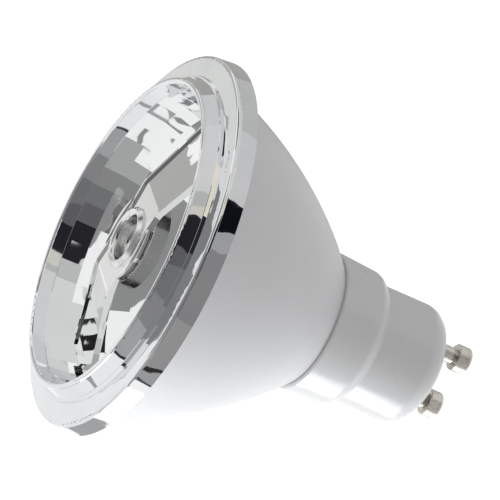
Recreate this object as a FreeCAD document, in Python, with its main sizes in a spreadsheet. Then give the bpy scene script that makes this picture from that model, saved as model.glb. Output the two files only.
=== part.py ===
import FreeCAD, Part
import math
import os
import Sketcher

# Spotlight bulb with a two-pin twist base. Millimetres, +Z towards the light, origin on the end face of
# the base boss, midway between the two contact pins. The pins and the bridge bar both lie along X.

doc = FreeCAD.newDocument("spotlight_bulb")
sheet = doc.addObject("Spreadsheet::Sheet", "Sizes")
sheet_rows = []

sizes = {
    # Clearances shared by all pieces
    "fit_gap": 0.1,  # radial gap between two parts that plug together
    "seat_gap": 0.2,  # gap between a component and the board it stands on

    # Base: boss, collar and the wall that carries the pins
    "boss_height": 14.3,  # boss, from its end face to the collar
    "boss_dia": 22.6,  # boss at its end
    "boss_root_dia": 22.3,  # boss at the collar, wider by the draft
    "boss_end_round": 4.4,  # large round at the end of the boss
    "collar_height": 9.8,  # collar, from the boss to the housing
    "collar_low_dia": 25.5,  # collar at its shoulder
    "collar_dia": 26.2,  # collar at the housing
    "shoulder_round": 2.5,  # round of the collar shoulder
    "corner_fillet": 0.6,  # fillet where the shoulder meets the boss
    "end_wall": 2.2,  # wall that the pins are staked in
    "cavity_dia": 19.2,  # inside of the boss
    "socket_depth": 8.2,  # bore that takes the neck of the housing
    "seam_chamfer": 0.25,  # small chamfer along the seam between base and housing
    "rail_reach": 2.4,  # how far a board rail stands in from the cavity wall
    "rail_width": 3.0,  # board rail across the board
    "rail_top": 13.5,  # top of the board rails

    # Contact pins
    "pin_pitch": 10.0,  # distance between the pin centres
    "pin_length": 6.7,  # pin, from the boss end face to its tip
    "pin_head_dia": 5.0,  # pin head
    "pin_head_length": 2.7,  # pin head, along the pin
    "pin_head_round": 0.45,  # round at the tip
    "pin_head_chamfer": 0.2,  # chamfer on the shoulder of the head
    "pin_neck_dia": 3.0,  # pin neck
    "pin_undercut": 0.2,  # depth of the turned groove behind the head
    "pin_undercut_width": 0.5,  # width of that groove
    "pin_stake_dia": 4.2,  # staked collar inside the end wall
    "pin_stake_height": 0.7,  # height of the staked collar
    "pin_tail_dia": 1.4,  # solder tail
    "pin_tail_length": 1.5,  # solder tail beyond the staked collar

    # Housing: neck, bell and rim flange
    "neck_length": 7.8,  # neck that plugs into the base
    "neck_dia": 23.0,  # outside of the neck
    "neck_wall": 1.5,  # wall of the neck
    "joint_dia": 25.0,  # bell where it meets the collar
    "bell_height": 33.3,  # bell, from the collar to the rim flange
    "bell_top_inset": 2.15,  # bell under the rim flange, in from the edge of the flange
    "bell_angle": 41.0,  # half angle of the lower, straight part of the bell
    "bell_straight": 4.1,  # length of that straight part
    "housing_wall": 1.8,  # wall of the bell
    "rim_flange_height": 1.3,  # rim flange that the front ring slides over, along the axis

    # Reflector bowl
    "bowl_flange_height": 1.05,  # clamped flange of the bowl
    "bowl_flange_inset": 0.6,  # clamped flange, in from the edge of the rim flange
    "bowl_mouth_step": 0.15,  # mirror surface at the mouth, in from the opening of the front ring
    "bowl_wall": 1.1,  # wall of the bowl
    "bowl_tube_rise": 1.65,  # mouth tube above the flange
    "bowl_tube_straight": 0.75,  # straight mouth tube above the dish
    "bowl_depth": 21.4,  # dished part of the mirror surface, at the axis
    "bowl_bottom_rise": 0.55,  # lowest point of the dish above the heat sink, on the axis
    "bowl_hole_dia": 19.0,  # hole round the light source
    "bowl_foot_dia": 22.4,  # foot ring that stands on the heat sink
    "bowl_foot_height": 1.6,  # foot ring, along the axis
    "facet_columns": 48,  # flat facets round the mirror surface
    "facet_rows": 8,  # rows of facets from the mouth to the hole
    "facet_margin": 0.8,  # how far the last row runs in past the edge of the hole

    # Front ring
    "ring_dia": 70.0,  # front ring at its front edge
    "ring_band_flare": 0.3,  # outer band at its back edge, out from its front edge
    "ring_band_wall": 1.4,  # wall of the outer band at its back edge
    "ring_face_width": 3.25,  # front face, from the step to its rounded edge
    "ring_face_height": 1.05,  # front face above the bowl flange
    "ring_overhang": 0.3,  # outer band past the rim flange, towards the base
    "ring_edge_round": 0.8,  # round between front face and outer band
    "lip_round": 0.55,  # radius of the rounded lip
    "lip_rise": 3.5,  # lip crest above the front face
    "lip_cone_spread": 1.15,  # how far the cone behind the lip widens
    "step_rise": 0.95,  # top of the small step above the front face
    "step_width": 0.3,  # flat on top of the small step
    "step_slope": 0.2,  # how far the side of the step slopes
    "face_fall": 0.35,  # how far the front face slopes down to its edge

    # Bridge bar
    "bar_width": 12.6,  # bar, across, at its waist
    "bar_waist": 9.0,  # length of the straight waist
    "bar_end_width": 17.0,  # bar, across, where its legs end
    "bar_thickness": 0.8,  # floor of the bar
    "bar_rise": 0.7,  # bar floor surface above the front face of the ring
    "bar_bead_height": 0.35,  # raised bead along both edges
    "bar_bead_width": 0.6,  # raised bead, across
    "bar_knee": 8.6,  # bend, from the middle of the bar
    "bar_bend_round": 2.0,  # inside radius of each bend
    "bar_leg_angle": 17.7,  # slope of the legs
    "bar_wall_gap": 0.35,  # gap between the leg end and the mirror surface at the mouth
    "tab_width": 5.0,  # tab that hooks into the bowl wall
    "tab_gap": 0.15,  # gap all round a tab in its slot

    # Glare cap
    "cap_drum_dia": 16.0,  # drum below the bar
    "cap_drum_height": 3.2,  # drum, along the axis
    "cap_shoulder_round": 0.6,  # round of the drum's shoulder
    "cap_neck_dia": 9.8,  # neck that passes the hole in the bar
    "cap_rim_dia": 11.4,  # rolled rim where it sits on the bar
    "cap_rim_height": 0.9,  # crest of the rim above the bar
    "cap_crest_dia": 10.2,  # circle of the crest
    "cap_wall": 0.8,  # wall of the cap
    "cap_well_depth": 1.8,  # floor of the hollow below the under side of the bar
    "cap_floor_round": 1.4,  # round inside the hollow, at its floor

    # Heat sink
    "sink_plate": 2.0,  # heat sink plate
    "sink_skirt_foot": 3.2,  # lower edge of the skirt that lines the bell, above the collar
    "sink_wall": 1.3,  # wall of the skirt

    # Light source
    "thermal_pad_height": 0.4,  # thermal pad
    "led_board_dia": 18.0,  # metal core board
    "led_board_height": 1.2,  # metal core board
    "led_module_width": 8.8,  # chip-on-board module, square
    "led_module_height": 0.9,  # chip-on-board module
    "led_phosphor_dia": 7.6,  # phosphor disc
    "led_phosphor_height": 0.45,  # phosphor disc
    "screw_spread": 6.9,  # board screw, from the axis along Y
    "screw_dia": 1.9,  # board screw shank
    "screw_head_dia": 3.4,  # board screw head
    "screw_head_height": 1.2,  # board screw head
    "screw_slot_width": 0.4,  # slot in the head
    "screw_slot_depth": 0.6,  # slot in the head
    "screw_length": 4.2,  # board screw shank, under the head
    "screw_gap": 0.05,  # gap round the shank

    # Driver board and the wires
    "driver_width": 17.2,  # driver board, across
    "driver_thickness": 1.0,  # driver board
    "driver_shift": 1.7,  # middle of the driver board, off the axis along Y
    "driver_foot": 5.2,  # lower edge of the driver board
    "driver_top_gap": 0.9,  # gap between the driver board and the heat sink plate
    "wire_dia": 1.0,  # insulated wire
    "wire_bend": 1.1,  # bend radius of the wires
    "input_wire_top": 0.9,  # straight rise of an input wire above the pin tail
    "output_wire_spread": 7.2,  # output wire, from the axis along X
    "output_wire_drop": 2.8,  # where an output wire leaves the driver board, below its upper edge
    "output_wire_end": 0.8,  # end of an output wire above the metal core board
    "sleeve_dia": 2.0,  # insulating sleeve
    "sleeve_over": 1.0,  # sleeve below the heat sink plate
    "solder_dia": 2.2,  # foot of a solder joint
    "solder_height": 0.7,  # solder joint

    # Components on the driver board, each named by its own sizes
    "bulk_dia": 7.8,  # bulk capacitor can
    "bulk_length": 10.0,  # bulk capacitor can
    "bulk_foot": 7.2,  # bulk capacitor, lower end
    "bulk_side": -4.3,  # bulk capacitor, middle along X
    "output_can_dia": 6.0,  # output capacitor can
    "output_can_length": 5.4,  # output capacitor can
    "can_round": 0.5,  # round at the ends of a can
    "film_width": 8.0,  # film capacitor along X
    "film_thickness": 4.2,  # film capacitor away from the board
    "film_height": 7.5,  # film capacitor along the axis
    "film_foot": 7.5,  # film capacitor, lower end
    "fuse_dia": 2.8,  # fuse resistor body
    "fuse_end_dia": 3.1,  # fuse resistor end caps
    "fuse_end_length": 1.4,  # fuse resistor end cap
    "fuse_length": 6.8,  # fuse resistor body
    "fuse_side": 4.6,  # fuse resistor, middle along X
    "fuse_foot": 10.2,  # fuse resistor, lower end
    "rectifier_width": 4.8,  # bridge rectifier along X
    "rectifier_height": 3.9,  # bridge rectifier along the axis
    "rectifier_thickness": 1.5,  # bridge rectifier body
    "rectifier_foot": 17.2,  # bridge rectifier, lower end
    "rectifier_lead_pitch": 2.5,  # bridge rectifier leads
    "chip_width": 3.9,  # driver chip along X
    "chip_height": 4.9,  # driver chip along the axis
    "chip_thickness": 1.4,  # driver chip body
    "chip_foot": 24.2,  # driver chip, lower end
    "chip_lead_pitch": 1.27,  # driver chip leads
    "lead_reach": 1.0,  # lead of a flat component, away from its body
    "lead_width": 0.5,  # lead of a flat component
    "lead_height": 0.5,  # lead above the board
    "core_width": 10.2,  # transformer core along X
    "core_height": 10.2,  # transformer core along the axis
    "core_thickness": 4.6,  # transformer core away from the board
    "core_yoke": 1.4,  # outer limbs and yokes of the core
    "core_leg": 2.6,  # centre leg of the core
    "core_foot": 17.4,  # transformer core, lower end
    "bobbin_wall": 0.4,  # bobbin tube and flanges
    "winding_build": 1.7,  # winding on the bobbin tube
}


def size(alias, value, note):
    """Write one named size, or a formula that starts with an equals sign, to the next row."""
    sheet_rows.append(alias)
    row = len(sheet_rows)
    sheet.set("A%d" % row, note)
    sheet.set("B%d" % row, str(value))
    sheet.setAlias("B%d" % row, alias)


for alias, number in sizes.items():
    size(alias, number, alias.replace("_", " "))

# Heights of the stack, from the boss end face up
size("collar_z", "=boss_height", "boss meets collar")
size("joint_z", "=collar_z + collar_height", "collar meets bell")
size("flange_z", "=joint_z + bell_height", "under side of the rim flange")
size("bowl_flange_z", "=flange_z + rim_flange_height", "bowl flange rests here")
size("ring_seat_z", "=bowl_flange_z + bowl_flange_height", "front ring rests here")
size("front_z", "=ring_seat_z + ring_face_height", "front face of the ring, at its edge")
size("ring_back_z", "=flange_z - ring_overhang", "back edge of the ring")
size("tube_top_z", "=ring_seat_z + bowl_tube_rise", "top of the bowl mouth tube")
size("dish_z", "=tube_top_z - bowl_tube_straight", "level where the dish becomes a tube")
size("sink_z", "=dish_z - bowl_depth - bowl_bottom_rise", "top of the heat sink plate")
size("sink_low_z", "=sink_z - sink_plate", "under side of the heat sink plate")
size("sink_skirt_z", "=joint_z + sink_skirt_foot", "lower edge of the heat sink skirt")
size("driver_top_z", "=sink_low_z - driver_top_gap", "upper edge of the driver board")
size("bar_floor_z", "=front_z + bar_rise", "upper surface of the bar floor")
size("bar_under_z", "=bar_floor_z - bar_thickness", "under side of the bar")
size("bar_bead_z", "=bar_floor_z + bar_bead_height", "top of the beads")
size("led_board_z", "=sink_z + thermal_pad_height", "under side of the metal core board")
size("led_module_z", "=led_board_z + led_board_height", "under side of the light module")
size("led_phosphor_z", "=led_module_z + led_module_height", "under side of the phosphor disc")

# Corners of the front ring, from the outer band inwards, and what it takes in
size("ring_r", "=ring_dia / 2", "front edge of the outer band")
size("ring_back_r", "=ring_r + ring_band_flare", "back edge of the outer band")
size("skirt_in_r", "=ring_back_r - ring_band_wall", "inside of the outer band")
size("ring_edge_r", "=ring_r - ring_edge_round", "outer end of the front face")
size("ring_edge_z", "=front_z - ring_edge_round", "front edge of the outer band")
size("face_in_r", "=ring_edge_r - ring_face_width", "inner end of the front face")
size("face_in_z", "=front_z + face_fall", "inner end of the front face")
size("step_out_r", "=face_in_r - step_slope", "outer end of the step flat")
size("step_z", "=front_z + step_rise", "top of the step")
size("cone_foot_r", "=step_out_r - step_width", "foot of the cone")
size("lip_out_r", "=cone_foot_r - lip_cone_spread", "outer side of the lip")
size("lip_mid_r", "=lip_out_r - lip_round", "crest of the lip")
size("mouth_r", "=lip_mid_r - lip_round", "opening")
size("lip_top_z", "=front_z + lip_rise", "crest of the lip")
size("lip_side_z", "=lip_top_z - lip_round", "sides of the lip")
size("rim_flange_r", "=skirt_in_r - fit_gap", "rim flange that the outer band slides over")
size("bowl_flange_r", "=rim_flange_r - bowl_flange_inset", "clamped flange of the bowl")
size("bowl_r", "=mouth_r - bowl_mouth_step", "mirror surface at the mouth")
size("bowl_out_r", "=bowl_r + bowl_wall", "outside of the mouth tube")
size("tube_clear_r", "=bowl_out_r + fit_gap", "ring round the mouth tube")

# Radii and corners of the base
size("boss_r", "=boss_dia / 2", "boss radius at its end")
size("boss_root_r", "=boss_root_dia / 2", "boss radius at the collar")
size("boss_flat_r", "=boss_r - boss_end_round", "flat part of the boss end face")
size("collar_r", "=collar_dia / 2", "collar radius at the housing")
size("collar_low_r", "=collar_low_dia / 2", "collar radius at the shoulder")
size("shoulder_in", "=shoulder_round - (collar_low_r - boss_root_r)", "inner end of the shoulder arc")
size("shoulder_z", "=collar_z + sqrt(shoulder_round ^ 2 - shoulder_in ^ 2)", "outer end of the shoulder arc")
size("collar_seam_r", "=collar_r - seam_chamfer", "seam chamfer on the collar")
size("collar_seam_z", "=joint_z - seam_chamfer", "seam chamfer on the collar")
size("cavity_r", "=cavity_dia / 2", "cavity radius")
size("neck_r", "=neck_dia / 2", "neck radius")
size("socket_r", "=neck_r + fit_gap", "socket radius")
size("socket_z", "=joint_z - socket_depth", "socket floor")
size("rail_in", "=cavity_r - rail_reach", "inner end of a board rail")
size("rail_out", "=cavity_r + end_wall / 4", "outer end of a board rail, inside the wall")
size("rail_near", "=driver_shift - rail_width / 2", "near side of a board rail")
size("rail_far", "=driver_shift + rail_width / 2", "far side of a board rail")
size("rail_rise", "=rail_top - end_wall", "height of a board rail")
size("slot_near", "=driver_shift - driver_thickness / 2 - fit_gap", "near side of a board slot")
size("slot_far", "=driver_shift + driver_thickness / 2 + fit_gap", "far side of a board slot")
size("slot_rise", "=rail_top - driver_foot", "height of a board slot")

# Corners of the housing. The inner surface and the heat sink follow the bell at a constant distance.
size("joint_r", "=joint_dia / 2", "bell radius at the collar")
size("bell_top_r", "=rim_flange_r - bell_top_inset", "bell radius under the flange")
size("bell_sin", "=sin(bell_angle)", "slope of the straight part")
size("bell_cos", "=cos(bell_angle)", "slope of the straight part")
size("bell_run", "=(bell_top_r - joint_r) * bell_sin + bell_height * bell_cos", "along the straight part")
size("bell_off", "=bell_height * bell_sin - (bell_top_r - joint_r) * bell_cos", "off the straight part")
size("bell_arc", "=((bell_run - bell_straight) ^ 2 + bell_off ^ 2) / (2 * bell_off)", "arc above that part")
size("bell_turn_r", "=joint_r + bell_straight * bell_sin", "where the arc starts")
size("bell_turn_z", "=joint_z + bell_straight * bell_cos", "where the arc starts")
size("bell_centre_r", "=bell_turn_r - bell_arc * bell_cos", "centre of the arc")
size("bell_centre_z", "=bell_turn_z + bell_arc * bell_sin", "centre of the arc")
size("housing_seam_r", "=joint_r - seam_chamfer", "seam chamfer on the bell")
size("housing_seam_z", "=joint_z + seam_chamfer * bell_cos / bell_sin", "seam chamfer on the bell")
size("neck_z", "=joint_z - neck_length", "lower end of the neck")
size("neck_bore_r", "=neck_r - neck_wall", "bore of the neck")
size("inner_arc", "=bell_arc - housing_wall", "inner arc of the bell")
size("inner_turn_r", "=bell_turn_r - housing_wall * bell_cos", "inner arc start")
size("inner_turn_z", "=bell_turn_z + housing_wall * bell_sin", "inner arc start")
size("bore_top_z", "=inner_turn_z - (inner_turn_r - neck_bore_r) * bell_cos / bell_sin", "top of the bore")
size("inner_top_r", "=bell_centre_r + sqrt(inner_arc ^ 2 - (bell_centre_z - bowl_flange_z) ^ 2)", "inner top")

# Corners of the heat sink
size("sink_out_off", "=housing_wall + fit_gap", "outer skin of the skirt, from the bell")
size("sink_in_off", "=sink_out_off + sink_wall", "inner skin of the skirt, from the bell")
size("sink_out_arc", "=bell_arc - sink_out_off", "outer arc")
size("sink_in_arc", "=bell_arc - sink_in_off", "inner arc")
size("sink_out_turn_r", "=bell_turn_r - sink_out_off * bell_cos", "outer arc start")
size("sink_out_turn_z", "=bell_turn_z + sink_out_off * bell_sin", "outer arc start")
size("sink_in_turn_r", "=bell_turn_r - sink_in_off * bell_cos", "inner arc start")
size("sink_in_turn_z", "=bell_turn_z + sink_in_off * bell_sin", "inner arc start")
size("sink_out_low_r", "=sink_out_turn_r - (sink_out_turn_z - sink_skirt_z) * bell_sin / bell_cos", "edge")
size("sink_in_low_r", "=sink_in_turn_r - (sink_in_turn_z - sink_skirt_z) * bell_sin / bell_cos", "skirt edge")
size("sink_out_top_r", "=bell_centre_r + sqrt(sink_out_arc ^ 2 - (bell_centre_z - sink_z) ^ 2)", "plate edge")
size("sink_in_top_r", "=bell_centre_r + sqrt(sink_in_arc ^ 2 - (bell_centre_z - sink_low_z) ^ 2)", "root")

# Mirror facets of the bowl
size("facet_hole_share", "=(bowl_hole_dia / 2 - facet_margin) / bowl_r", "last ring against the mouth")
size("facet_step", "=acos(facet_hole_share) / facet_rows / 1deg", "turn from ring to ring, in degrees")

# Holes in the heat sink
size("screw_hole_r", "=screw_dia / 2 + screw_gap", "hole for a board screw")
size("sleeve_hole_r", "=sleeve_dia / 2 + screw_gap", "hole for a wire sleeve")

# Corners of the bridge bar. Each bend is an arc with its tangent points on the floor and on the leg.
size("leg_sin", "=sin(bar_leg_angle)", "slope of the legs")
size("leg_cos", "=cos(bar_leg_angle)", "slope of the legs")
size("bend_tan", "=tan(bar_leg_angle / 2)", "half turn of a bend")
size("bar_end", "=bowl_out_r + bowl_wall", "length of the legs before they are trimmed")
size("under_arc", "=bar_bend_round", "arc of the under side")
size("floor_arc", "=bar_bend_round + bar_thickness", "arc of the floor surface")
size("bead_arc", "=floor_arc + bar_bead_height", "arc of the bead top")
size("under_knee", "=bar_knee - bar_thickness * bend_tan", "under side knee")
size("bead_knee", "=bar_knee + bar_bead_height * bend_tan", "bead top knee")
size("under_in_r", "=under_knee - under_arc * bend_tan", "under side tangent point on the floor")
size("under_out_r", "=under_knee + under_arc * bend_tan * leg_cos", "under side tangent point on the leg")
size("under_out_z", "=bar_under_z - under_arc * bend_tan * leg_sin", "under side tangent point on the leg")
size("floor_in_r", "=bar_knee - floor_arc * bend_tan", "floor tangent point")
size("floor_out_r", "=bar_knee + floor_arc * bend_tan * leg_cos", "floor tangent point on the leg")
size("floor_out_z", "=bar_floor_z - floor_arc * bend_tan * leg_sin", "floor tangent point on the leg")
size("bead_in_r", "=bead_knee - bead_arc * bend_tan", "bead tangent point")
size("bead_out_r", "=bead_knee + bead_arc * bend_tan * leg_cos", "bead tangent point on the leg")
size("bead_out_z", "=bar_bead_z - bead_arc * bend_tan * leg_sin", "bead tangent point on the leg")
size("under_end_z", "=bar_under_z - (bar_end - under_knee) * leg_sin / leg_cos", "under side at the leg end")
size("floor_end_z", "=bar_floor_z - (bar_end - bar_knee) * leg_sin / leg_cos", "floor at the leg end")
size("bead_end_z", "=bar_bead_z - (bar_end - bead_knee) * leg_sin / leg_cos", "bead top at the leg end")
size("channel_top_z", "=bar_bead_z + bar_thickness", "top of the cut between the beads")
size("channel_end_z", "=bead_end_z + bar_thickness", "top of that cut at the leg end")
size("waist_half", "=bar_waist / 2", "end of the waist")
size("waist_side", "=bar_width / 2", "edge of the bar at its waist")
size("flare_side", "=bar_end_width / 2", "edge of the bar at the leg ends")
size("waist_floor", "=waist_side - bar_bead_width", "edge of the floor between the beads, at the waist")
size("flare_floor", "=flare_side - bar_bead_width", "edge of the floor between the beads, at the leg ends")
size("leg_drop", "=(bowl_r - under_knee) * leg_sin / leg_cos", "fall of a leg's under side at the bowl")
size("leg_depth", "=dish_z - bar_under_z + leg_drop", "leg end below the top of the dish")
size("bowl_leg_r", "=bowl_r * sqrt(1 - (leg_depth / bowl_depth) ^ 2)", "mirror surface at the leg ends")
size("trim_r", "=bowl_leg_r * cos(180 / facet_columns) - bar_wall_gap", "circle that trims the legs")
size("trim_far", "=bar_end + bar_thickness", "outer side of the trimming cut")
size("trim_side", "=bar_end_width / 2 + bar_thickness", "half width of the trimming cut")
size("tab_end", "=bowl_leg_r + bowl_wall - tab_gap", "outer end of a tab")
size("tab_root_z", "=bar_floor_z - (trim_r - bar_knee) * leg_sin / leg_cos", "upper side of a tab's root")
size("slot_top_z", "=tab_root_z + bar_bead_height + tab_gap", "slot top")
size("slot_low_z", "=bar_under_z - (tab_end - under_knee) * leg_sin / leg_cos - tab_gap", "slot bottom")

# Corners of the glare cap
size("cap_drum_r", "=cap_drum_dia / 2", "drum")
size("cap_shoulder_r", "=cap_drum_r - cap_shoulder_round", "flat of the shoulder")
size("cap_shoulder_z", "=bar_under_z - cap_shoulder_round", "side of the drum")
size("cap_roof_z", "=bar_under_z - cap_wall", "under side of the shoulder")
size("cap_skirt_z", "=bar_under_z - cap_drum_height", "lower edge of the drum")
size("cap_drum_in_r", "=cap_drum_r - cap_wall", "drum, inside")
size("cap_neck_r", "=cap_neck_dia / 2", "neck")
size("cap_rim_r", "=cap_rim_dia / 2", "rim on the bar")
size("cap_crest_r", "=cap_crest_dia / 2", "crest of the rim")
size("cap_crest_z", "=bar_floor_z + cap_rim_height", "crest of the rim")
size("cap_in_r", "=cap_neck_r - cap_wall", "hollow")
size("cap_floor_z", "=bar_under_z - cap_well_depth", "floor of the hollow")
size("cap_under_z", "=cap_floor_z - cap_wall", "under side of the hollow")
size("cap_floor_r", "=cap_in_r - cap_floor_round", "flat part of the floor")
size("cap_floor_side_z", "=cap_floor_z + cap_floor_round", "top of the floor round")
size("cap_under_r", "=cap_neck_r - cap_floor_round", "flat part of the under side")
size("cap_under_side_z", "=cap_under_z + cap_floor_round", "top of the outer round")
size("cap_in_z", "=cap_crest_z - (cap_crest_r - cap_in_r)", "foot of the inner rim round")
size("cap_in_round", "=cap_crest_r - cap_in_r", "inner rim round")
size("cap_out_round", "=cap_rim_r - cap_crest_r", "outer rim round")
size("cap_out_z", "=bar_floor_z + cap_out_round / 2", "foot of the outer rim round")
size("cap_hole_r", "=cap_neck_r + fit_gap", "hole in the bar")

# Corners of the contact pins
size("pin_x", "=pin_pitch / 2", "pin centre")
size("pin_head_r", "=pin_head_dia / 2", "head")
size("pin_tip_r", "=pin_head_r - pin_head_round", "flat of the tip")
size("pin_tip_side", "=pin_length - pin_head_round", "start of the tip round, below the end face")
size("pin_shoulder", "=pin_length - pin_head_length", "shoulder, below the end face")
size("pin_chamfer_side", "=pin_shoulder + pin_head_chamfer", "chamfer on the shoulder")
size("pin_chamfer_r", "=pin_head_r - pin_head_chamfer", "chamfer on the shoulder")
size("pin_neck_r", "=pin_neck_dia / 2", "neck")
size("pin_groove_r", "=pin_neck_r - pin_undercut", "groove behind the head")
size("pin_groove_side", "=pin_shoulder - pin_undercut_width", "far side of the groove")
size("pin_stake_r", "=pin_stake_dia / 2", "staked collar")
size("pin_stake_z", "=end_wall + pin_stake_height", "top of the staked collar")
size("pin_tail_r", "=pin_tail_dia / 2", "solder tail")
size("pin_tail_z", "=pin_stake_z + pin_tail_length", "top of the solder tail")
size("pin_hole_r", "=pin_neck_r", "hole in the end wall")

# Places on the driver board
size("board_near_y", "=driver_shift - driver_thickness / 2", "near face of the driver board")
size("board_far_y", "=driver_shift + driver_thickness / 2", "far face of the driver board")
size("driver_length", "=driver_top_z - driver_foot", "driver board, along the axis")
size("output_can_foot", "=driver_top_z - output_can_length", "lower end of the output capacitor")
size("output_wire_start", "=driver_top_z - output_wire_drop", "where an output wire leaves the board")
size("output_wire_top_z", "=led_module_z + output_wire_end", "end of an output wire")
for stem in ("bulk", "output_can"):
    size(stem + "_r", "=%s_dia / 2" % stem, "can radius")
    size(stem + "_y", "=board_near_y - seat_gap - %s_r" % stem, "middle of the can")
    size(stem + "_flat_r", "=%s_r - can_round" % stem, "flat end of the can")
    size(stem + "_low_side", "=%s_foot + can_round" % stem, "lower end of the can wall")
    size(stem + "_top", "=%s_foot + %s_length" % (stem, stem), "top of the can")
    size(stem + "_top_side", "=%s_top - can_round" % stem, "upper end of the can wall")

# Transformer: its core stands off the driver board by the winding and the bobbin
size("winding_stack", "=winding_build + 2 * bobbin_wall", "bobbin and winding beside the core")
size("core_near_y", "=board_near_y - winding_stack - core_thickness", "side of the core away from the board")
size("window_width", "=(core_width - core_leg) / 2 - core_yoke", "window of the core, along X")
size("window_height", "=core_height - 2 * core_yoke", "window of the core, along the axis")
size("bobbin_gap", "=seat_gap / 2", "gap between bobbin and core")
size("tube_width", "=core_leg + 2 * (bobbin_gap + bobbin_wall)", "bobbin tube along X")
size("tube_depth", "=core_thickness + 2 * (bobbin_gap + bobbin_wall)", "bobbin tube along Y")
size("wound_width", "=tube_width + 2 * winding_build", "winding along X")
size("wound_depth", "=tube_depth + 2 * winding_build", "winding along Y")
size("core_middle_y", "=core_near_y + core_thickness / 2", "middle of the core")
size("bobbin_height", "=window_height - 2 * bobbin_gap", "bobbin along the axis")
size("bobbin_z", "=core_foot + core_yoke + bobbin_gap", "lower end of the bobbin")
doc.recompute()


def value(alias):
    """Read a size, or zero for a corner on an axis."""
    if alias == "axis":
        return 0.0
    if alias.startswith("-"):
        return -value(alias[1:])
    return float(sheet.get(alias))


def plane(body, role):
    """Find one of a body's own origin planes."""
    for feature in body.Origin.OriginFeatures:
        if feature.Role == role:
            return feature
    raise ValueError(role)


def new_body(name):
    body = doc.addObject("PartDesign::Body", name)
    body.Label = name
    return body


def new_sketch(body, name, role, lift=None):
    """Make a sketch on a plane of its body, raised by a named size where one is given."""
    sketch = body.newObject("Sketcher::SketchObject", name)
    sketch.AttachmentSupport = [(plane(body, role), "")]
    sketch.MapMode = "FlatFace"
    if lift:
        sketch.setExpression("AttachmentOffset.Base.z", "Sizes." + lift)
    return sketch


def arc_edge(start, end, radius, side):
    """Arc from start to end, its centre on the left (+1) or the right (-1) of the way there."""
    middle = (start + end) * 0.5
    chord = end - start
    left = FreeCAD.Vector(-chord.y, chord.x, 0).normalize()
    reach = math.sqrt(max(radius ** 2 - (chord.Length / 2) ** 2, 0.0))
    centre = middle + left * (reach * side)
    angles = [math.atan2(point.y - centre.y, point.x - centre.x) for point in (start, end)]
    if side < 0:
        angles.reverse()
    circle = Part.Circle(centre, FreeCAD.Vector(0, 0, 1), radius)
    return Part.ArcOfCircle(circle, angles[0], angles[1])


def pin_down(sketch, edge, end, axis, alias):
    """Hold one coordinate of a corner at a named size, measured from the sketch origin."""
    if alias == "axis":
        line = -2 if axis == "DistanceX" else -1
        sketch.addConstraint(Sketcher.Constraint("PointOnObject", edge, end, line))
        return
    name = "%s_%d" % (axis[-1].lower(), edge)
    corner = (edge, end)
    origin = (-1, 1)
    first, last = (corner, origin) if alias.startswith("-") else (origin, corner)
    plain = alias.lstrip("-")
    index = sketch.addConstraint(Sketcher.Constraint(axis, *first, *last, value(plain)))
    sketch.renameConstraint(index, name)
    sketch.setExpression("Constraints." + name, "Sizes." + plain)


def outline(sketch, corners):
    """Draw a closed outline. A corner is (across, up), and (across, up, radius, side) if an arc leaves it."""
    points = [FreeCAD.Vector(value(corner[0]), value(corner[1]), 0) for corner in corners]
    first = sketch.GeometryCount
    ends = []
    for number, corner in enumerate(corners):
        start = points[number]
        end = points[(number + 1) % len(points)]
        if len(corner) == 4:
            sketch.addGeometry(arc_edge(start, end, value(corner[2]), corner[3]), False)
            ends.append((1, 2) if corner[3] > 0 else (2, 1))
        else:
            sketch.addGeometry(Part.LineSegment(start, end), False)
            ends.append((1, 2))
    for number in range(len(corners)):
        after = (number + 1) % len(corners)
        here = (first + number, ends[number][1])
        there = (first + after, ends[after][0])
        sketch.addConstraint(Sketcher.Constraint("Coincident", *here, *there))
    for number, corner in enumerate(corners):
        pin_down(sketch, first + number, ends[number][0], "DistanceX", corner[0])
        pin_down(sketch, first + number, ends[number][0], "DistanceY", corner[1])
        if len(corner) == 4:
            radius = Sketcher.Constraint("Radius", first + number, value(corner[2]))
            index = sketch.addConstraint(radius)
            name = "radius_%d" % (first + number)
            sketch.renameConstraint(index, name)
            sketch.setExpression("Constraints." + name, "Sizes." + corner[2])


def rectangle(sketch, left, right, low, high):
    outline(sketch, [(left, low), (right, low), (right, high), (left, high)])


def circle(sketch, radius_alias, across="axis", up="axis"):
    """Draw a circle with its centre at named sizes."""
    centre = FreeCAD.Vector(value(across), value(up), 0)
    normal = FreeCAD.Vector(0, 0, 1)
    number = sketch.addGeometry(Part.Circle(centre, normal, value(radius_alias)), False)
    if across == "axis" and up == "axis":
        sketch.addConstraint(Sketcher.Constraint("Coincident", number, 3, -1, 1))
    else:
        pin_down(sketch, number, 3, "DistanceX", across)
        pin_down(sketch, number, 3, "DistanceY", up)
    index = sketch.addConstraint(Sketcher.Constraint("Radius", number, value(radius_alias)))
    name = "circle_%d" % number
    sketch.renameConstraint(index, name)
    sketch.setExpression("Constraints." + name, "Sizes." + radius_alias)


def turned(name, corners):
    """Body of one outline turned about the axis."""
    body = new_body(name)
    sketch = new_sketch(body, name + "_section", "XZ_Plane")
    outline(sketch, corners)
    turn = body.newObject("PartDesign::Revolution", name + "_turn")
    turn.Profile = sketch
    turn.ReferenceAxis = (sketch, ["V_Axis"])
    turn.Angle = 360.0
    doc.recompute()
    return body


def pad(body, sketch, name, length, midplane=False):
    feature = body.newObject("PartDesign::Pad", name)
    feature.Profile = sketch
    feature.Midplane = midplane
    feature.setExpression("Length", "Sizes." + length)
    doc.recompute()
    return feature


def pocket(body, sketch, name, length, midplane=False, upwards=False):
    feature = body.newObject("PartDesign::Pocket", name)
    feature.Profile = sketch
    feature.Midplane = midplane
    feature.Reversed = upwards
    feature.setExpression("Length", "Sizes." + length)
    before = body.Shape.Volume
    doc.recompute()
    if body.Shape.Volume >= before:
        raise ValueError(name + " cuts nothing")
    return feature


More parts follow.
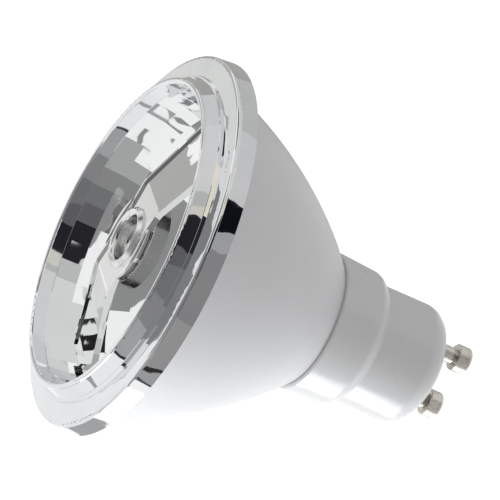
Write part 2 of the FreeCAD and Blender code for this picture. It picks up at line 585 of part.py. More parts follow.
def place(thing, across="0", deep="0", up="0"):
    """Bind the place of a primitive to the sheet. Each argument is a formula."""
    thing.setExpression("Placement.Base.x", across)
    thing.setExpression("Placement.Base.y", deep)
    thing.setExpression("Placement.Base.z", up)


def cylinder(name, radius, height, across="0", deep="0", up="0"):
    thing = doc.addObject("Part::Cylinder", name)
    thing.setExpression("Radius", radius)
    thing.setExpression("Height", height)
    place(thing, across, deep, up)
    return thing


def box(name, length, width, height, across="0", deep="0", up="0"):
    thing = doc.addObject("Part::Box", name)
    thing.setExpression("Length", length)
    thing.setExpression("Width", width)
    thing.setExpression("Height", height)
    place(thing, across, deep, up)
    return thing


def fuse(name, things):
    whole = doc.addObject("Part::MultiFuse", name)
    whole.Shapes = things
    return whole


def cut(name, base, tool):
    rest = doc.addObject("Part::Cut", name)
    rest.Base = base
    rest.Tool = tool
    return rest


def group(name, things):
    """Like pieces that share one node, as separate solids."""
    whole = doc.addObject("Part::Compound", name)
    whole.Links = things
    return whole


pieces = []


def keep(piece, label):
    piece.Label = label
    pieces.append(piece)
    return piece


def edges_on_circle(shape, radius, height):
    """Names of the full circular edges with this radius at this height."""
    names = []
    for number, edge in enumerate(shape.Edges, start=1):
        curve = edge.Curve
        if not isinstance(curve, Part.Circle):
            continue
        if abs(curve.Radius - radius) < 1e-4 and abs(curve.Center.z - height) < 1e-4:
            names.append("Edge%d" % number)
    return names


# Front ring: chrome plated moulding with a rounded lip, a steep cone, a small step and an outer band
front_ring = turned("front_ring", [
    ("mouth_r", "tube_top_z"),
    ("mouth_r", "lip_side_z", "lip_round", -1),
    ("lip_mid_r", "lip_top_z", "lip_round", -1),
    ("lip_out_r", "lip_side_z"),
    ("cone_foot_r", "step_z"),
    ("step_out_r", "step_z"),
    ("face_in_r", "face_in_z"),
    ("ring_edge_r", "front_z", "ring_edge_round", -1),
    ("ring_r", "ring_edge_z"),
    ("ring_back_r", "ring_back_z"),
    ("skirt_in_r", "ring_back_z"),
    ("skirt_in_r", "ring_seat_z"),
    ("tube_clear_r", "ring_seat_z"),
    ("tube_clear_r", "tube_top_z"),
])
keep(front_ring, "front_ring")

# Housing: white moulding, a neck below, a bell of a straight cone and an arc, and a rim flange on top
housing = turned("housing_shell", [
    ("neck_bore_r", "neck_z"),
    ("neck_r", "neck_z"),
    ("neck_r", "joint_z"),
    ("housing_seam_r", "joint_z"),
    ("joint_r", "housing_seam_z"),
    ("bell_turn_r", "bell_turn_z", "bell_arc", 1),
    ("bell_top_r", "flange_z"),
    ("rim_flange_r", "flange_z"),
    ("rim_flange_r", "bowl_flange_z"),
    ("inner_top_r", "bowl_flange_z", "inner_arc", -1),
    ("inner_turn_r", "inner_turn_z"),
    ("neck_bore_r", "bore_top_z"),
])
keep(housing, "housing_shell")

# Base: white moulding, closed at the pin end, with a socket for the neck and two rails for the driver board
base_cap = turned("base_cap", [
    ("axis", "axis"),
    ("boss_flat_r", "axis", "boss_end_round", 1),
    ("boss_r", "boss_end_round"),
    ("boss_root_r", "collar_z", "shoulder_round", 1),
    ("collar_low_r", "shoulder_z"),
    ("collar_r", "collar_seam_z"),
    ("collar_seam_r", "joint_z"),
    ("socket_r", "joint_z"),
    ("socket_r", "socket_z"),
    ("cavity_r", "socket_z"),
    ("cavity_r", "end_wall"),
    ("axis", "end_wall"),
])
turned_blank = base_cap.Tip
corner_edges = edges_on_circle(turned_blank.Shape, value("boss_root_r"), value("collar_z"))
corner = base_cap.newObject("PartDesign::Fillet", "shoulder_fillet")
corner.Base = (turned_blank, corner_edges)
corner.setExpression("Radius", "Sizes.corner_fillet")
doc.recompute()

rails = new_sketch(base_cap, "rail_outlines", "XY_Plane", "end_wall")
rectangle(rails, "rail_in", "rail_out", "rail_near", "rail_far")
rectangle(rails, "-rail_out", "-rail_in", "rail_near", "rail_far")
pad(base_cap, rails, "rails", "rail_rise")
slots = new_sketch(base_cap, "slot_outlines", "XY_Plane", "driver_foot")
rectangle(slots, "rail_in", "cavity_r", "slot_near", "slot_far")
rectangle(slots, "-cavity_r", "-rail_in", "slot_near", "slot_far")
pocket(base_cap, slots, "slots", "slot_rise", upwards=True)
holes = new_sketch(base_cap, "pin_hole_circles", "XY_Plane")
circle(holes, "pin_hole_r", "pin_x")
circle(holes, "pin_hole_r", "-pin_x")
pocket(base_cap, holes, "pin_holes", "end_wall", upwards=True)
keep(base_cap, "base_cap")

# Contact pins: turned, with a head, a groove, a neck, a staked collar inside the wall and a solder tail
for side, sign in (("left", "-"), ("right", "")):
    pin = turned("contact_pin_" + side, [
        ("axis", "-pin_length"),
        ("pin_tip_r", "-pin_length", "pin_head_round", 1),
        ("pin_head_r", "-pin_tip_side"),
        ("pin_head_r", "-pin_chamfer_side"),
        ("pin_chamfer_r", "-pin_shoulder"),
        ("pin_groove_r", "-pin_shoulder"),
        ("pin_groove_r", "-pin_groove_side"),
        ("pin_neck_r", "-pin_groove_side"),
        ("pin_neck_r", "end_wall"),
        ("pin_stake_r", "end_wall"),
        ("pin_stake_r", "pin_stake_z"),
        ("pin_tail_r", "pin_stake_z"),
        ("pin_tail_r", "pin_tail_z"),
        ("axis", "pin_tail_z"),
    ])
    pin.setExpression("Placement.Base.x", sign + "Sizes.pin_x")
    keep(pin, "contact_pin_" + side)

# Reflector bowl: an ellipsoid dish that turns into a tube at the mouth, with a clamped flange, a foot ring
# and two slots for the tabs of the bridge bar. Inside, the mirror surface is a net of flat facets: each row
# runs between two rings of straight sides whose corners lie on the ellipsoid.
dish_out = doc.addObject("Part::Ellipsoid", "dish_out")
dish_out.setExpression("Radius1", "Sizes.bowl_depth + Sizes.bowl_wall")
dish_out.setExpression("Radius2", "Sizes.bowl_out_r")
dish_out.Angle2 = 0
place(dish_out, up="Sizes.dish_z")
facet_rings = []
for row in range(int(value("facet_rows")), -1, -1):
    ring = doc.addObject("Part::RegularPolygon", "facet_ring_%d" % row)
    ring.setExpression("Polygon", "Sizes.facet_columns")
    turn = "%d * Sizes.facet_step" % row
    ring.setExpression("Circumradius", "Sizes.bowl_r * cos(%s)" % turn)
    place(ring, up="Sizes.dish_z - Sizes.bowl_depth * sin(%s)" % turn)
    facet_rings.append(ring)
mirror_dish = doc.addObject("Part::Loft", "mirror_dish")
mirror_dish.Sections = facet_rings
mirror_dish.Solid = True
mirror_dish.Ruled = True
mirror_mouth = doc.addObject("Part::Prism", "mirror_mouth")
mirror_mouth.setExpression("Polygon", "Sizes.facet_columns")
mirror_mouth.setExpression("Circumradius", "Sizes.bowl_r")
mirror_mouth.setExpression("Height", "Sizes.bowl_tube_straight + Sizes.bowl_wall")
place(mirror_mouth, up="Sizes.dish_z")
bowl_body = fuse("bowl_body", [
    dish_out,
    cylinder("bowl_tube", "Sizes.bowl_out_r", "Sizes.bowl_tube_straight", up="Sizes.dish_z"),
    cylinder("bowl_flange", "Sizes.bowl_flange_r", "Sizes.bowl_flange_height", up="Sizes.bowl_flange_z"),
    cylinder("bowl_foot", "Sizes.bowl_foot_dia / 2", "Sizes.bowl_foot_height", up="Sizes.sink_z"),
])
bowl_hollow = fuse("bowl_hollow", [
    mirror_dish,
    mirror_mouth,
    cylinder("bowl_hole", "Sizes.bowl_hole_dia / 2", "Sizes.bowl_depth / 2",
             up="Sizes.sink_z - Sizes.bowl_wall"),
    cylinder("bowl_below", "Sizes.bowl_out_r", "Sizes.bowl_depth", up="Sizes.sink_z - Sizes.bowl_depth"),
    box("tab_slots", "2 * Sizes.bowl_flange_r", "Sizes.tab_width + 2 * Sizes.tab_gap",
        "Sizes.slot_top_z - Sizes.slot_low_z", "-Sizes.bowl_flange_r",
        "-Sizes.tab_width / 2 - Sizes.tab_gap", "Sizes.slot_low_z"),
])
keep(cut("reflector_bowl", bowl_body, bowl_hollow), "reflector_bowl")

# Bridge bar: a strip bent down at both ends and wider towards them, with a bead along each edge, a hole in
# the middle for the cap, and end tabs that hook into the bowl


def flared(name, side_corners, waist, flare):
    """Body of a bent side view, as wide as the leg ends, then cut to a waisted outline seen from above."""
    body = new_body(name)
    side_view = new_sketch(body, name + "_side", "XZ_Plane")
    outline(side_view, side_corners)
    pad(body, side_view, name + "_bend", "bar_end_width", midplane=True)
    plan_view = new_sketch(body, name + "_plan", "XY_Plane", "bar_under_z")
    rectangle(plan_view, "-trim_far", "trim_far", "-trim_side", "trim_side")
    outline(plan_view, [
        ("-bar_end", "-" + flare),
        ("-waist_half", "-" + waist),
        ("waist_half", "-" + waist),
        ("bar_end", "-" + flare),
        ("bar_end", flare),
        ("waist_half", waist),
        ("-waist_half", waist),
        ("-bar_end", flare),
    ])
    pocket(body, plan_view, name + "_edges", "bar_end", midplane=True)
    return body


bar_strip = flared("bar_strip", [
    ("-bar_end", "under_end_z"),
    ("-under_out_r", "under_out_z", "under_arc", -1),
    ("-under_in_r", "bar_under_z"),
    ("under_in_r", "bar_under_z", "under_arc", -1),
    ("under_out_r", "under_out_z"),
    ("bar_end", "under_end_z"),
    ("bar_end", "bead_end_z"),
    ("bead_out_r", "bead_out_z", "bead_arc", 1),
    ("bead_in_r", "bar_bead_z"),
    ("-bead_in_r", "bar_bead_z", "bead_arc", 1),
    ("-bead_out_r", "bead_out_z"),
    ("-bar_end", "bead_end_z"),
], "waist_side", "flare_side")
bar_channel = flared("bar_channel", [
    ("-bar_end", "floor_end_z"),
    ("-floor_out_r", "floor_out_z", "floor_arc", -1),
    ("-floor_in_r", "bar_floor_z"),
    ("floor_in_r", "bar_floor_z", "floor_arc", -1),
    ("floor_out_r", "floor_out_z"),
    ("bar_end", "floor_end_z"),
    ("bar_end", "channel_end_z"),
    ("bead_out_r", "channel_top_z"),
    ("-bead_out_r", "channel_top_z"),
    ("-bar_end", "channel_end_z"),
], "waist_floor", "flare_floor")
leg_reach = fuse("leg_reach", [
    cylinder("leg_trim", "Sizes.trim_r", "2 * Sizes.bowl_depth", up="Sizes.dish_z - Sizes.bowl_depth"),
    box("tab_reach", "2 * Sizes.tab_end", "Sizes.tab_width", "2 * Sizes.bowl_depth", "-Sizes.tab_end",
        "-Sizes.tab_width / 2", "Sizes.dish_z - Sizes.bowl_depth"),
])
trimmed_bar = doc.addObject("Part::Common", "trimmed_bar")
trimmed_bar.Base = cut("beaded_strip", bar_strip, bar_channel)
trimmed_bar.Tool = leg_reach
cap_hole = cylinder("cap_hole", "Sizes.cap_hole_r", "Sizes.bowl_depth",
                    up="Sizes.bar_under_z - Sizes.bowl_depth / 2")
keep(cut("bridge_bar", trimmed_bar, cap_hole), "bridge_bar")

# Glare cap: a drum under the bar whose neck passes the hole and is rolled over into a rim, with a hollow
# in its middle. The bar is held between the shoulder of the drum and the rim.
glare_cap = turned("glare_cap", [
    ("axis", "cap_under_z"),
    ("cap_under_r", "cap_under_z", "cap_floor_round", 1),
    ("cap_neck_r", "cap_under_side_z"),
    ("cap_neck_r", "cap_roof_z"),
    ("cap_drum_in_r", "cap_roof_z"),
    ("cap_drum_in_r", "cap_skirt_z"),
    ("cap_drum_r", "cap_skirt_z"),
    ("cap_drum_r", "cap_shoulder_z", "cap_shoulder_round", 1),
    ("cap_shoulder_r", "bar_under_z"),
    ("cap_neck_r", "bar_under_z"),
    ("cap_neck_r", "bar_floor_z"),
    ("cap_rim_r", "bar_floor_z"),
    ("cap_rim_r", "cap_out_z"),
    ("cap_crest_r", "cap_crest_z", "cap_in_round", 1),
    ("cap_in_r", "cap_in_z"),
    ("cap_in_r", "cap_floor_side_z", "cap_floor_round", -1),
    ("cap_floor_r", "cap_floor_z"),
    ("axis", "cap_floor_z"),
])
keep(glare_cap, "glare_cap")

# Heat sink: aluminium cup whose skirt lines the bell, drilled for the board screws and the output wires
heat_sink = turned("heat_sink", [
    ("axis", "sink_low_z"),
    ("sink_in_top_r", "sink_low_z", "sink_in_arc", -1),
    ("sink_in_turn_r", "sink_in_turn_z"),
    ("sink_in_low_r", "sink_skirt_z"),
    ("sink_out_low_r", "sink_skirt_z"),
    ("sink_out_turn_r", "sink_out_turn_z", "sink_out_arc", 1),
    ("sink_out_top_r", "sink_z"),
    ("axis", "sink_z"),
])
drilling = new_sketch(heat_sink, "sink_hole_circles", "XY_Plane", "sink_low_z")
circle(drilling, "screw_hole_r", "axis", "screw_spread")
circle(drilling, "screw_hole_r", "axis", "-screw_spread")
circle(drilling, "sleeve_hole_r", "output_wire_spread")
circle(drilling, "sleeve_hole_r", "-output_wire_spread")
pocket(heat_sink, drilling, "sink_holes", "sink_plate", upwards=True)
keep(heat_sink, "heat_sink")


def drilled_disc(name, radius, height, up):
    """Round sheet with two screw holes along Y and two wire holes along X."""
    screw_hole = "Sizes.screw_dia / 2 + Sizes.screw_gap"
    wire_hole = "Sizes.wire_dia / 2 + Sizes.screw_gap"
    tools = []
    for sign in ("-", ""):
        deep = sign + "Sizes.screw_spread"
        across = sign + "Sizes.output_wire_spread"
        tools.append(cylinder(name + "_screw_hole", screw_hole, height, deep=deep, up=up))
        tools.append(cylinder(name + "_wire_hole", wire_hole, height, across, up=up))
    disc = cylinder(name + "_disc", radius, height, up=up)
    return keep(cut(name, disc, fuse(name + "_holes", tools)), name)


# Light source: thermal pad, metal core board, module with its phosphor disc, and two screws
board_radius = "Sizes.led_board_dia / 2"
drilled_disc("thermal_pad", board_radius + " - Sizes.fit_gap", "Sizes.thermal_pad_height", "Sizes.sink_z")
drilled_disc("led_board", board_radius, "Sizes.led_board_height", "Sizes.led_board_z")
half_module = "-Sizes.led_module_width / 2"
module_sizes = ("Sizes.led_module_width", "Sizes.led_module_width", "Sizes.led_module_height")
keep(box("led_module", *module_sizes, half_module, half_module, "Sizes.led_module_z"), "led_module")
phosphor_sizes = ("Sizes.led_phosphor_dia / 2", "Sizes.led_phosphor_height")
keep(cylinder("led_phosphor", *phosphor_sizes, up="Sizes.led_phosphor_z"), "led_phosphor")

screws = []
for sign in ("-", ""):
    spread = sign + "Sizes.screw_spread"
    head = cylinder("screw_head", "Sizes.screw_head_dia / 2", "Sizes.screw_head_height",
                    deep=spread, up="Sizes.led_module_z")
    shank = cylinder("screw_shank", "Sizes.screw_dia / 2", "Sizes.screw_length",
                     deep=spread, up="Sizes.led_module_z - Sizes.screw_length")
    driven = box("screw_slot", "Sizes.screw_head_dia", "Sizes.screw_slot_width", "Sizes.screw_slot_depth",
                 "-Sizes.screw_head_dia / 2", spread + " - Sizes.screw_slot_width / 2",
                 "Sizes.led_module_z + Sizes.screw_head_height - Sizes.screw_slot_depth")
    screws.append(cut("screw", fuse("screw_blank", [head, shank]), driven))
keep(group("board_screws", screws), "board_screws")

# Driver board, upright in its rails
keep(box("driver_board", "Sizes.driver_width", "Sizes.driver_thickness", "Sizes.driver_length",
         "-Sizes.driver_width / 2", "Sizes.board_near_y", "Sizes.driver_foot"), "driver_board")


def can(name, stem, across):
    """Round capacitor can that stands along the axis beside the near face of the driver board."""
    body = turned(name, [
        ("axis", stem + "_foot"),
        (stem + "_flat_r", stem + "_foot", "can_round", 1),
        (stem + "_r", stem + "_low_side"),
        (stem + "_r", stem + "_top_side", "can_round", 1),
        (stem + "_flat_r", stem + "_top"),
        ("axis", stem + "_top"),
    ])
    body.setExpression("Placement.Base.x", across)
    body.setExpression("Placement.Base.y", "Sizes.%s_y" % stem)
    return keep(body, name)


can("bulk_capacitor", "bulk", "Sizes.bulk_side")
can("output_capacitor", "output_can", "0")
keep(box("film_capacitor", "Sizes.film_width", "Sizes.film_thickness", "Sizes.film_height",
         "-Sizes.film_width / 2", "Sizes.board_far_y", "Sizes.film_foot"), "film_capacitor")

# Fuse resistor: a thin body between two end caps, along the axis
fuse_end = "Sizes.fuse_end_dia / 2"
fuse_deep = "Sizes.board_near_y - Sizes.seat_gap - Sizes.fuse_end_dia / 2"
fuse_low = "Sizes.fuse_foot"
fuse_high = "Sizes.fuse_foot + Sizes.fuse_length - Sizes.fuse_end_length"
keep(fuse("fuse_resistor", [
    cylinder("fuse_body", "Sizes.fuse_dia / 2", "Sizes.fuse_length", "Sizes.fuse_side", fuse_deep, fuse_low),
    cylinder("fuse_low_cap", fuse_end, "Sizes.fuse_end_length", "Sizes.fuse_side", fuse_deep, fuse_low),
    cylinder("fuse_high_cap", fuse_end, "Sizes.fuse_end_length", "Sizes.fuse_side", fuse_deep, fuse_high),
]), "fuse_resistor")


def flat_chip(name, stem, leads):
    """Flat component on the far face of the driver board, with a row of leads on each side along X."""
    own = {key: "Sizes.%s_%s" % (stem, key) for key in ("width", "height", "thickness", "foot", "lead_pitch")}
    parts = [box(name + "_body", own["width"], own["thickness"], own["height"],
                 "-%s / 2" % own["width"], "Sizes.board_far_y", own["foot"])]
    for number in range(leads):
        offset = number - (leads - 1) / 2
        middle = "%s + %s / 2 + %g * %s" % (own["foot"], own["height"], offset, own["lead_pitch"])
        parts.append(box(name + "_leads", "%s + 2 * Sizes.lead_reach" % own["width"], "Sizes.lead_height",
                         "Sizes.lead_width", "-%s / 2 - Sizes.lead_reach" % own["width"],
                         "Sizes.board_far_y", middle + " - Sizes.lead_width / 2"))
    return keep(fuse(name, parts), name)


flat_chip("bridge_rectifier", "rectifier", 2)
flat_chip("driver_chip", "chip", 4)

# Transformer: a closed core with a centre leg, a bobbin round that leg and the winding on it


def block(name, width, depth, height, up):
    """Box centred on the core, in X and Y."""
    return box(name, width, depth, height, "-(%s) / 2" % width, "Sizes.core_middle_y - (%s) / 2" % depth, up)


window_offsets = ("-Sizes.core_leg / 2 - Sizes.window_width", "Sizes.core_leg / 2")
windows = [box("core_window", "Sizes.window_width", "Sizes.core_thickness", "Sizes.window_height", offset,
               "Sizes.core_near_y", "Sizes.core_foot + Sizes.core_yoke") for offset in window_offsets]
core_sizes = ("Sizes.core_width", "Sizes.core_thickness", "Sizes.core_height")
core_block = block("core_block", *core_sizes, "Sizes.core_foot")
keep(cut("transformer_core", core_block, fuse("core_windows", windows)), "transformer_core")
leg_width = "Sizes.core_leg + 2 * Sizes.bobbin_gap"
leg_depth = "Sizes.core_thickness + 2 * Sizes.bobbin_gap"
flange_up = "Sizes.bobbin_z + Sizes.bobbin_height - Sizes.bobbin_wall"
spool = fuse("spool", [
    block("spool_tube", "Sizes.tube_width", "Sizes.tube_depth", "Sizes.bobbin_height", "Sizes.bobbin_z"),
    block("spool_low", "Sizes.wound_width", "Sizes.wound_depth", "Sizes.bobbin_wall", "Sizes.bobbin_z"),
    block("spool_high", "Sizes.wound_width", "Sizes.wound_depth", "Sizes.bobbin_wall", flange_up),
])
spool_bore = block("spool_bore", leg_width, leg_depth, "Sizes.bobbin_height", "Sizes.bobbin_z")
keep(cut("transformer_bobbin", spool, spool_bore), "transformer_bobbin")
coil_up = "Sizes.bobbin_z + Sizes.bobbin_wall"
coil_height = "Sizes.bobbin_height - 2 * Sizes.bobbin_wall"
coil_out = block("coil_out", "Sizes.wound_width", "Sizes.wound_depth", coil_height, coil_up)
coil_in = block("coil_in", "Sizes.tube_width", "Sizes.tube_depth", coil_height, coil_up)
keep(cut("transformer_winding", coil_out, coil_in), "transformer_winding")


def wire(name, route):
    """Round wire along straight runs joined by arcs, given as edges."""
    path = Part.Wire(route)
    start = path.OrderedEdges[0]
    direction = start.tangentAt(start.FirstParameter)
    centre = start.valueAt(start.FirstParameter)
    section = Part.Wire(Part.makeCircle(value("wire_dia") / 2, centre, direction))
    thing = doc.addObject("Part::Feature", name)
    thing.Shape = path.makePipeShell([section], True, False)
    return keep(thing, name)


def quarter_turn(first, middle_direction, last_direction):
    """Arc that turns from one direction into another at right angles, starting at a point."""
    bend = value("wire_bend")
    centre = first + last_direction * bend
    end = centre + middle_direction * bend
    middle = centre + (middle_direction - last_direction).normalize() * bend
    return Part.Arc(first, middle, end).toShape(), end


up_way = FreeCAD.Vector(0, 0, 1)
deep_way = FreeCAD.Vector(0, 1, 0)
for side, sign in (("left", -1), ("right", 1)):
    tail = FreeCAD.Vector(sign * value("pin_x"), 0, value("pin_tail_z"))
    bend_start = tail + up_way * value("input_wire_top")
    turn, turn_end = quarter_turn(bend_start, up_way, deep_way)
    joint = FreeCAD.Vector(turn_end.x, value("board_near_y"), turn_end.z)
    runs = [Part.LineSegment(tail, bend_start).toShape(), turn]
    if (joint - turn_end).Length > 1e-6:
        runs.append(Part.LineSegment(turn_end, joint).toShape())
    wire("input_wire_" + side, runs)

for side, sign in (("minus", -1), ("plus", 1)):
    across = sign * value("output_wire_spread")
    joint = FreeCAD.Vector(across, value("board_near_y"), value("output_wire_start"))
    bend_start = FreeCAD.Vector(joint.x, value("wire_bend"), joint.z)
    turn, turn_end = quarter_turn(bend_start, -deep_way, up_way)
    end = FreeCAD.Vector(joint.x, 0, value("output_wire_top_z"))
    runs = [turn, Part.LineSegment(turn_end, end).toShape()]
    if (joint - bend_start).Length > 1e-6:
        runs.insert(0, Part.LineSegment(joint, bend_start).toShape())
    wire("output_wire_" + side, runs)

# Sleeves round the output wires where they pass the heat sink, and solder joints on the metal core board
sleeves = []
joints = []
for sign in ("-", ""):
    across = sign + "Sizes.output_wire_spread"
    sleeve_low = "Sizes.sink_low_z - Sizes.sleeve_over"
    sleeve_height = "Sizes.sink_plate + Sizes.sleeve_over"
    sleeve_bore = cylinder("sleeve_bore", "Sizes.wire_dia / 2", sleeve_height, across, "0", sleeve_low)
    sleeve_tube = cylinder("sleeve_tube", "Sizes.sleeve_dia / 2", sleeve_height, across, "0", sleeve_low)
    sleeves.append(cut("sleeve", sleeve_tube, sleeve_bore))
    mound = doc.addObject("Part::Cone", "solder_mound")
    mound.setExpression("Radius1", "Sizes.solder_dia / 2")
    mound.setExpression("Radius2", "Sizes.wire_dia / 2 + Sizes.screw_gap")
    mound.setExpression("Height", "Sizes.solder_height")
    place(mound, across, "0", "Sizes.led_module_z")
    core = cylinder("solder_core", "Sizes.wire_dia / 2", "Sizes.solder_height", across,
                    up="Sizes.led_module_z")
    joints.append(cut("solder_joint", mound, core))
keep(group("wire_sleeves", sleeves), "wire_sleeves")
keep(group("solder_joints", joints), "solder_joints")

doc.recompute()
for thing in doc.Objects:
    if "Invalid" in thing.State or "Error" in thing.State:
        raise ValueError("%s failed: %s" % (thing.Name, thing.State))
os.makedirs("parts", exist_ok=True)
for piece in pieces:
    shape = piece.Shape
    if shape.isNull() or not shape.isValid() or not shape.Solids:
        raise ValueError(piece.Label + " has no valid solid")
    shape.exportStep(os.path.join("parts", piece.Label + ".step"))
    bounds = shape.BoundBox
    print("%-20s solids %d  volume %9.2f  z %7.2f to %6.2f" % (
        piece.Label, len(shape.Solids), shape.Volume, bounds.ZMin, bounds.ZMax))
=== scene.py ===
from math import cos, pi, radians, sin

import bmesh
import bpy
from mathutils import Matrix, Vector


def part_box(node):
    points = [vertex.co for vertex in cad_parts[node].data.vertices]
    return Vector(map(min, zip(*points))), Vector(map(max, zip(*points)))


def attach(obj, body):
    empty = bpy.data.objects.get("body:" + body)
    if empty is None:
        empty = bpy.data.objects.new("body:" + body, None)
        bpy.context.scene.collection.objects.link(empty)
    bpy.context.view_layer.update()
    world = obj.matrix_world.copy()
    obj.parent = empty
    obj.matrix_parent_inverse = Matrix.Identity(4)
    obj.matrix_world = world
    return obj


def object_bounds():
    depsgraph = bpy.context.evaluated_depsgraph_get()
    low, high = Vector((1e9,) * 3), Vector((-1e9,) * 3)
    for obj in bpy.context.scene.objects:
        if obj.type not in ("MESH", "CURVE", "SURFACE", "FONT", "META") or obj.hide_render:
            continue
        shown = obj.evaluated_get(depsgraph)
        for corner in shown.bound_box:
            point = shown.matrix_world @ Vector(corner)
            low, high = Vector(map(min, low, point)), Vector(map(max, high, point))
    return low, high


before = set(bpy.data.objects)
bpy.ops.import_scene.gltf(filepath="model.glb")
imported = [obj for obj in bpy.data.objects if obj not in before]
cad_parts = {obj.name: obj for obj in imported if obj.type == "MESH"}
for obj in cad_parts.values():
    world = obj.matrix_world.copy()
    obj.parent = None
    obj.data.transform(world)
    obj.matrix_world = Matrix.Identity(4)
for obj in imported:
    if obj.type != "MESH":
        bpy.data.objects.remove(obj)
bpy.context.view_layer.update()
cad_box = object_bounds()
scene = bpy.context.scene

# Camera: a long lens, level with the front ring and a little in front of it, rolled so that the lamp
# lies with its light to the upper left and its pins to the lower right.
camera_place = Vector((0.23793, -0.62991, 0.31147))
camera_right = Vector((0.50736, -0.17688, -0.84339))
camera_up = Vector((0.80062, 0.45877, 0.38542))
camera_back = Vector((0.31875, -0.87077, 0.37437))
camera_data = bpy.data.cameras.new("long_lens")
camera_data.sensor_width = 36.0
camera_data.lens = 297.6
camera_data.clip_start = 0.05
camera_data.clip_end = 20.0
camera = bpy.data.objects.new("camera", camera_data)
camera_turn = Matrix((camera_right, camera_up, camera_back)).transposed().to_4x4()
camera.matrix_world = Matrix.Translation(camera_place) @ camera_turn
scene.collection.objects.link(camera)
scene.camera = camera
scene.view_settings.view_transform = "Standard"

# Floor: a wide, plain, pale sheet far below the pins. It shows white to the lens and in the mirrors,
# and its matt colour still takes the lamp's soft shadow.
floor_drop = 0.45
floor_half = 3.0
floor_colour = (0.88, 0.88, 0.88, 1.0)
floor_roughness = 0.9
floor_glow_colour = (1.0, 1.0, 1.0, 1.0)
floor_glow = 0.66


def add_node(tree, kind, feeds, **settings):
    """Add a node with its settings. A feed is a socket to link to an input or a value to set on it."""
    node = tree.nodes.new(kind)
    for name, value in settings.items():
        setattr(node, name, value)
    for name, value in feeds.items():
        if isinstance(value, bpy.types.NodeSocket):
            tree.links.new(value, node.inputs[name])
        else:
            node.inputs[name].default_value = value
    return node


def maths(tree, operation, *feeds, **settings):
    """Output of a new maths node."""
    node = add_node(tree, "ShaderNodeMath", dict(enumerate(feeds)), operation=operation, **settings)
    return node.outputs["Value"]


def shown_white(tree):
    """Factor that is one for the lens, for mirrors and for what is seen through clear surfaces."""
    rays = tree.nodes.new("ShaderNodeLightPath").outputs
    direct = maths(tree, "ADD", rays["Is Camera Ray"], rays["Is Glossy Ray"])
    return maths(tree, "ADD", direct, rays["Is Transmission Ray"], use_clamp=True)


sheet = bmesh.new()
bmesh.ops.create_grid(sheet, x_segments=1, y_segments=1, size=floor_half)
bmesh.ops.translate(sheet, verts=sheet.verts, vec=(0.0, 0.0, cad_box[0].z - floor_drop))
floor_mesh = bpy.data.meshes.new("floor")
sheet.to_mesh(floor_mesh)
sheet.free()
floor = bpy.data.objects.new("floor", floor_mesh)
scene.collection.objects.link(floor)

floor_paper = bpy.data.materials.new("floor_paper")
floor_paper.use_nodes = True
floor_tree = floor_paper.node_tree
floor_shader = floor_tree.nodes["Principled BSDF"]
floor_shader.inputs["Base Color"].default_value = floor_colour
floor_shader.inputs["Roughness"].default_value = floor_roughness
floor_shader.inputs["Emission Color"].default_value = floor_glow_colour
floor_lift = maths(floor_tree, "MULTIPLY", shown_white(floor_tree), floor_glow)
floor_tree.links.new(floor_lift, floor_shader.inputs["Emission Strength"])
floor_mesh.materials.append(floor_paper)

# Studio: an even grey room that is white to the lens and in the mirrors, one broad soft box low on the
# left, and curved cards at arm's length that only the mirrors see.
room_light = (0.49, 0.49, 0.493, 1.0)
room_seen = (1.0, 1.0, 1.0, 1.0)
lamp_middle = Vector((0.0, 0.0, 0.05))
box_place = Vector((-0.86, -0.18, -0.30))
box_size = 0.6
box_power = 8.0
box_tone = (0.95, 0.98, 1.0)
card_step = 5.0

room = bpy.data.worlds.new("studio_room")
room.use_nodes = True
room_tree = room.node_tree
room_mix = add_node(
    room_tree, "ShaderNodeMix", {"Factor": shown_white(room_tree), "A": room_light, "B": room_seen},
    data_type="RGBA")
room_tree.links.new(room_mix.outputs["Result"], room_tree.nodes["Background"].inputs["Color"])
scene.world = room

box_light = bpy.data.lights.new("low_soft_box", "AREA")
box_light.shape = "SQUARE"
box_light.size = box_size
box_light.energy = box_power
box_light.color = box_tone
soft_box = bpy.data.objects.new("low_soft_box", box_light)
soft_box.location = box_place
soft_box.rotation_euler = (lamp_middle - box_place).to_track_quat("-Z", "Y").to_euler()
scene.collection.objects.link(soft_box)


def mirror_card(name, turns, rises, distance, tone):
    """Curved card round the lamp that only glossy surfaces see, from its edges as angles in degrees."""
    card_mesh = bpy.data.meshes.new(name)
    bent = bmesh.new()
    columns = max(2, int((turns[1] - turns[0]) / card_step))
    rows = max(2, int((rises[1] - rises[0]) / card_step))
    bmesh.ops.create_grid(bent, x_segments=columns, y_segments=rows, size=0.5)
    for corner in bent.verts:
        azimuth = radians(turns[0] + (corner.co.x + 0.5) * (turns[1] - turns[0]))
        rise = radians(rises[0] + (corner.co.y + 0.5) * (rises[1] - rises[0]))
        way = Vector((cos(rise) * cos(azimuth), cos(rise) * sin(azimuth), sin(rise)))
        corner.co = lamp_middle + way * distance
    bent.to_mesh(card_mesh)
    bent.free()
    card = bpy.data.objects.new(name, card_mesh)
    scene.collection.objects.link(card)
    card.visible_camera = False
    card.visible_diffuse = False
    card.visible_transmission = False
    card.visible_shadow = False
    paint = bpy.data.materials.new(name)
    paint.use_nodes = True
    paint.node_tree.nodes.remove(paint.node_tree.nodes["Principled BSDF"])
    glow = add_node(paint.node_tree, "ShaderNodeEmission", {"Color": (*tone, 1.0)})
    paint.node_tree.links.new(glow.outputs[0], paint.node_tree.nodes["Material Output"].inputs["Surface"])
    card_mesh.materials.append(paint)


